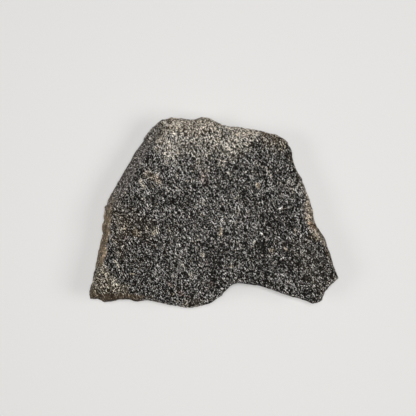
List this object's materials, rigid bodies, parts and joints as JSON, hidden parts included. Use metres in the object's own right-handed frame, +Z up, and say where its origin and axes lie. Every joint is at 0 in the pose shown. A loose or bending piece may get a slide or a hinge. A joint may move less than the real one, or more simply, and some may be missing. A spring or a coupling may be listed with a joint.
{
  "type": "gneiss hand specimen",
  "caption": "Dark grey salt-and-pepper gneiss slab, broken to a rough trapezoid with a beaked front corner, a scooped front edge and a weathered back edge.",
  "frame": {"origin": "on the surface the slab rests on, under the middle of its outline", "axes": "+X along the slab's length, towards the beaked corner; +Y towards the weathered back edge; +Z up"},
  "size_m": [0.1008, 0.0774, 0.0205],
  "materials": {
    "gneiss": "rough broken stone"
  },
  "bodies": {
    "root": {"gneiss_slab": "gneiss"}
  },
  "joints": []
}
